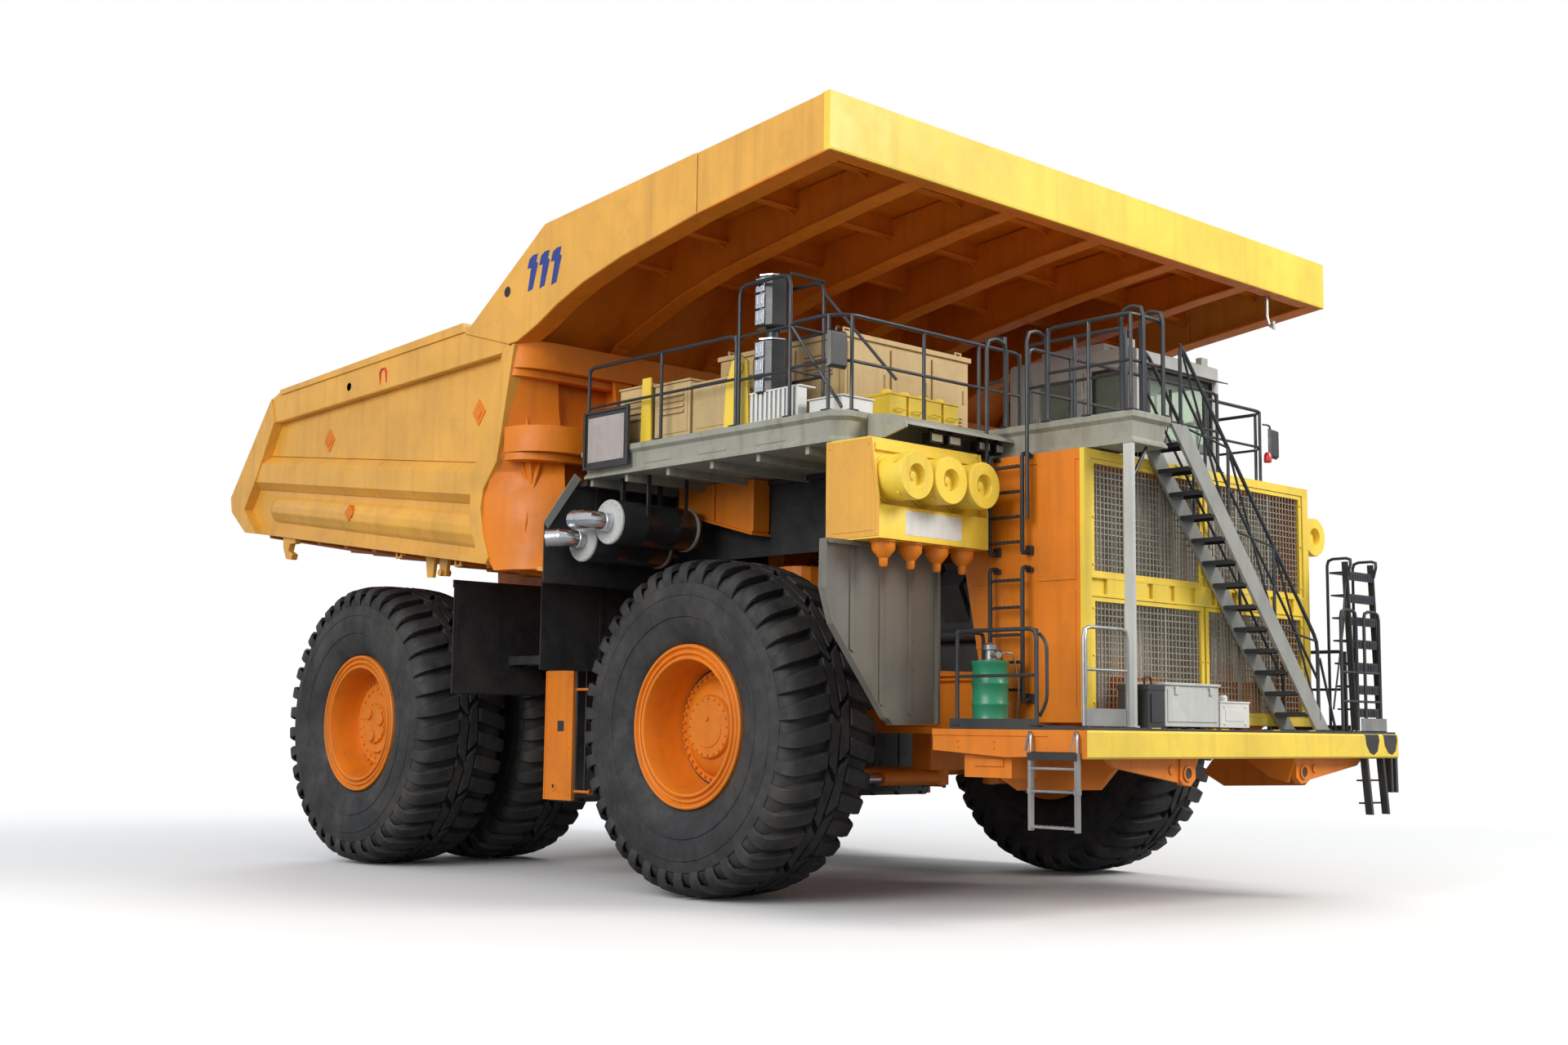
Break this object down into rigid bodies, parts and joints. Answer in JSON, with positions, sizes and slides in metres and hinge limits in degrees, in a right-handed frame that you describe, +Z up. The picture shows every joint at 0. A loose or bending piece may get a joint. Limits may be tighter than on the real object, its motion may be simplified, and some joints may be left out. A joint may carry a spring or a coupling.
{
  "type": "mining dump truck",
  "caption": "Rigid-frame mining dump truck: tipping bed with canopy, steered front wheels, twin rear wheels, cab, decks, rails and diagonal front stairs.",
  "frame": {"origin": "bottom centre of the overall box, on the ground", "axes": "+Z up; the truck drives towards -Y; +X is its left side; +Y runs along its length to the tail"},
  "size_m": [9.9, 15.27, 8.66],
  "materials": {
    "body_paint": "semi-gloss golden orange",
    "deep_orange": "semi-gloss deep orange",
    "bright_yellow": "semi-gloss bright yellow",
    "deck_grey": "worn matt grey",
    "cream": "satin cream",
    "black_paint": "satin black",
    "rail_black": "satin black tube",
    "tyre_rubber": "dusty rubber",
    "flap_rubber": "rubber sheet",
    "chrome": "polished",
    "stair_grey": "light grey",
    "cab_grey": "satin grey white",
    "cab_glass": "tinted",
    "engine_grey": "painted iron",
    "barrel_green": "gloss green",
    "interior": "grained"
  },
  "bodies": {
    "chassis": {"front_strut_left": "deep_orange", "front_strut_right": "deep_orange", "frame": "deep_orange", "rear_axle": "deep_orange", "radiator_housing": "deep_orange", "engine": "engine_grey", "front_bumper": "bright_yellow", "grille": "bright_yellow", "air_cleaner_left": "bright_yellow", "air_cleaner_right": "bright_yellow", "deck_right": "deck_grey", "deck_left": "deck_grey", "handrail_right": "rail_black", "handrail_left": "rail_black", "side_ladder": "rail_black", "bumper_platform": "rail_black", "grease_barrel": "barrel_green", "deck_cabinets": "cream", "cab_shell": "cab_grey", "cab_glazing": "cab_glass", "operator_seat": "interior", "dashboard": "interior", "front_stairs": "stair_grey", "fender_left": "black_paint", "fender_right": "black_paint", "side_tank_left": "black_paint", "side_tank_right": "black_paint", "mufflers": "black_paint", "mud_flap_left": "flap_rubber", "mud_flap_right": "flap_rubber"},
    "bed": {"bed_floor": "body_paint", "bed_side_left": "body_paint", "bed_side_right": "body_paint", "bed_front_wall": "body_paint", "bed_canopy": "body_paint"},
    "cab_door": {"cab_door": "cab_grey", "door_glass": "cab_glass"},
    "tie_rod": {"tie_rod": "deep_orange"},
    "front_wheel_left": {"front_rim_left": "deep_orange", "front_tyre_left": "tyre_rubber"},
    "rear_wheels_left": {"rear_rim_left": "deep_orange", "rear_outer_tyre_left": "tyre_rubber", "rear_inner_tyre_left": "tyre_rubber"},
    "knuckle_left": {"steering_knuckle_left": "deep_orange"},
    "steering_cylinder_left": {"steering_cylinder_left": "deep_orange"},
    "steering_rod_left": {"steering_rod_left": "chrome"},
    "hoist_barrel_left": {"hoist_barrel_left": "deep_orange"},
    "hoist_stage_left": {"hoist_stage_left": "chrome"},
    "hoist_rod_left": {"hoist_rod_left": "chrome"},
    "front_wheel_right": {"front_rim_right": "deep_orange", "front_tyre_right": "tyre_rubber"},
    "rear_wheels_right": {"rear_rim_right": "deep_orange", "rear_outer_tyre_right": "tyre_rubber", "rear_inner_tyre_right": "tyre_rubber"},
    "knuckle_right": {"steering_knuckle_right": "deep_orange"},
    "steering_cylinder_right": {"steering_cylinder_right": "deep_orange"},
    "steering_rod_right": {"steering_rod_right": "chrome"},
    "hoist_barrel_right": {"hoist_barrel_right": "deep_orange"},
    "hoist_stage_right": {"hoist_stage_right": "chrome"},
    "hoist_rod_right": {"hoist_rod_right": "chrome"}
  },
  "joints": [
    {"name": "bed_tip", "type": "hinge", "parent": "chassis", "child": "bed", "pos_m": [0, 5.985, 3.3], "axis": [-1, 0, 0], "range_deg": [0, 45]},
    {"name": "hoist_swing_left", "type": "hinge", "parent": "chassis", "child": "hoist_barrel_left", "pos_m": [1.6, 1.695, 1.45], "axis": [-1, 0, 0], "range_deg": [0, 22]},
    {"name": "hoist_stage_slide_left", "type": "slide", "parent": "hoist_barrel_left", "child": "hoist_stage_left", "axis": [0, -0.124, 0.9923], "range_m": [0, 1.63]},
    {"name": "hoist_rod_slide_left", "type": "slide", "parent": "hoist_stage_left", "child": "hoist_rod_left", "axis": [0, -0.124, 0.9923], "range_m": [0, 1.63]},
    {"name": "hoist_swing_right", "type": "hinge", "parent": "chassis", "child": "hoist_barrel_right", "pos_m": [-1.6, 1.695, 1.45], "axis": [-1, 0, 0], "range_deg": [0, 22]},
    {"name": "hoist_stage_slide_right", "type": "slide", "parent": "hoist_barrel_right", "child": "hoist_stage_right", "axis": [0, -0.124, 0.9923], "range_m": [0, 1.63]},
    {"name": "hoist_rod_slide_right", "type": "slide", "parent": "hoist_stage_right", "child": "hoist_rod_right", "axis": [0, -0.124, 0.9923], "range_m": [0, 1.63]},
    {"name": "steer", "type": "hinge", "parent": "chassis", "child": "knuckle_left", "pos_m": [2.15, -2.455, 2], "axis": [0, 0, 1], "range_deg": [-30, 30]},
    {"name": "steer_right", "type": "hinge", "parent": "chassis", "child": "knuckle_right", "pos_m": [-2.15, -2.455, 2], "axis": [0, 0, 1], "range_deg": [-31, 31]},
    {"name": "tie_rod_pin", "type": "hinge", "parent": "knuckle_left", "child": "tie_rod", "pos_m": [2.15, -1.605, 1.43], "axis": [0, 0, 1], "range_deg": [-31, 31]},
    {"name": "steering_cylinder_swing_left", "type": "hinge", "parent": "chassis", "child": "steering_cylinder_left", "pos_m": [0.5, -3.305, 1.4], "axis": [0, 0, 1], "range_deg": [-2, 2]},
    {"name": "steering_rod_slide_left", "type": "slide", "parent": "steering_cylinder_left", "child": "steering_rod_left", "axis": [1, 0, 0], "range_m": [-0.43, 0.43]},
    {"name": "front_wheel_spin_left", "type": "hinge", "parent": "knuckle_left", "child": "front_wheel_left", "pos_m": [3.42, -2.455, 2], "axis": [1, 0, 0], "continuous": true},
    {"name": "rear_wheels_spin_left", "type": "hinge", "parent": "chassis", "child": "rear_wheels_left", "pos_m": [2.92, 4.435, 2], "axis": [1, 0, 0], "continuous": true},
    {"name": "steering_cylinder_swing_right", "type": "hinge", "parent": "chassis", "child": "steering_cylinder_right", "pos_m": [-0.5, -3.305, 1.4], "axis": [0, 0, 1], "range_deg": [-2, 2]},
    {"name": "steering_rod_slide_right", "type": "slide", "parent": "steering_cylinder_right", "child": "steering_rod_right", "axis": [-1, 0, 0], "range_m": [-0.43, 0.43]},
    {"name": "front_wheel_spin_right", "type": "hinge", "parent": "knuckle_right", "child": "front_wheel_right", "pos_m": [-3.42, -2.455, 2], "axis": [1, 0, 0], "continuous": true},
    {"name": "rear_wheels_spin_right", "type": "hinge", "parent": "chassis", "child": "rear_wheels_right", "pos_m": [-2.92, 4.435, 2], "axis": [1, 0, 0], "continuous": true},
    {"name": "cab_door_hinge", "type": "hinge", "parent": "chassis", "child": "cab_door", "pos_m": [1.975, -3.705, 6.3], "axis": [0, 0, 1], "range_deg": [0, 85]}
  ],
  "couplings": [
    {"joint": "hoist_swing_left", "follows": "bed_tip", "ratio": 0.48378},
    {"joint": "hoist_stage_slide_left", "follows": "bed_tip", "m_per_rad": 2.069},
    {"joint": "hoist_rod_slide_left", "follows": "bed_tip", "m_per_rad": 2.069},
    {"joint": "steering_cylinder_swing_left", "follows": "steer", "ratio": -0.03617},
    {"joint": "steering_rod_slide_left", "follows": "steer", "m_per_rad": 0.8096},
    {"joint": "hoist_swing_right", "follows": "bed_tip", "ratio": 0.48378},
    {"joint": "hoist_stage_slide_right", "follows": "bed_tip", "m_per_rad": 2.069},
    {"joint": "hoist_rod_slide_right", "follows": "bed_tip", "m_per_rad": 2.069},
    {"joint": "steering_cylinder_swing_right", "follows": "steer", "ratio": -0.03617},
    {"joint": "steering_rod_slide_right", "follows": "steer", "m_per_rad": -0.8096},
    {"joint": "steer_right", "follows": "steer", "ratio": 1},
    {"joint": "tie_rod_pin", "follows": "steer", "ratio": -1}
  ]
}
